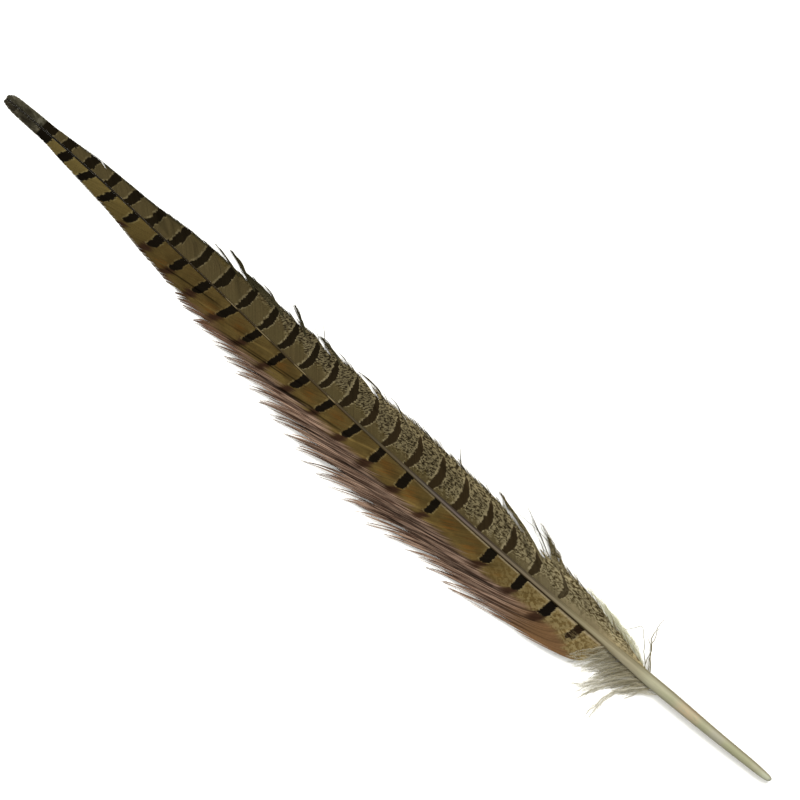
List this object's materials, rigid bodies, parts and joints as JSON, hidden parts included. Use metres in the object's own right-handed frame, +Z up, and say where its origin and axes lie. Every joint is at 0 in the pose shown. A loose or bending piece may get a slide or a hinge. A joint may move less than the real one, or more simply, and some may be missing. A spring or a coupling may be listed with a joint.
{
  "type": "pheasant tail feather",
  "caption": "Long tapering cock pheasant tail feather with barred tan vanes, a loose mauve fringe along one side and a pale quill, lying on its underside.",
  "frame": {"origin": "under the middle of the feather's bounding box, on the flat surface it lies on", "axes": "+X from the quill's end to the feather's tip, +Y to the side with the long loose fringe, +Z up, out of the upper side of the feather"},
  "size_m": [0.4306, 0.0444, 0.0065],
  "materials": {
    "horn_shaft": "satin, pale horn, slightly see-through at the quill's end",
    "fringed_vane_barbs": "soft matt barbs, tan to orange brown by the shaft and mauve at the fringe, with black bars",
    "mottled_vane_barbs": "soft matt barbs, olive tan with fine dark mottling and dark brown bars",
    "down": "fluffy, matt, grey buff"
  },
  "bodies": {
    "root": {"shaft": "horn_shaft", "fringed_vane": "fringed_vane_barbs", "mottled_vane": "mottled_vane_barbs", "fringed_side_down": "down", "mottled_side_down": "down"}
  },
  "joints": []
}
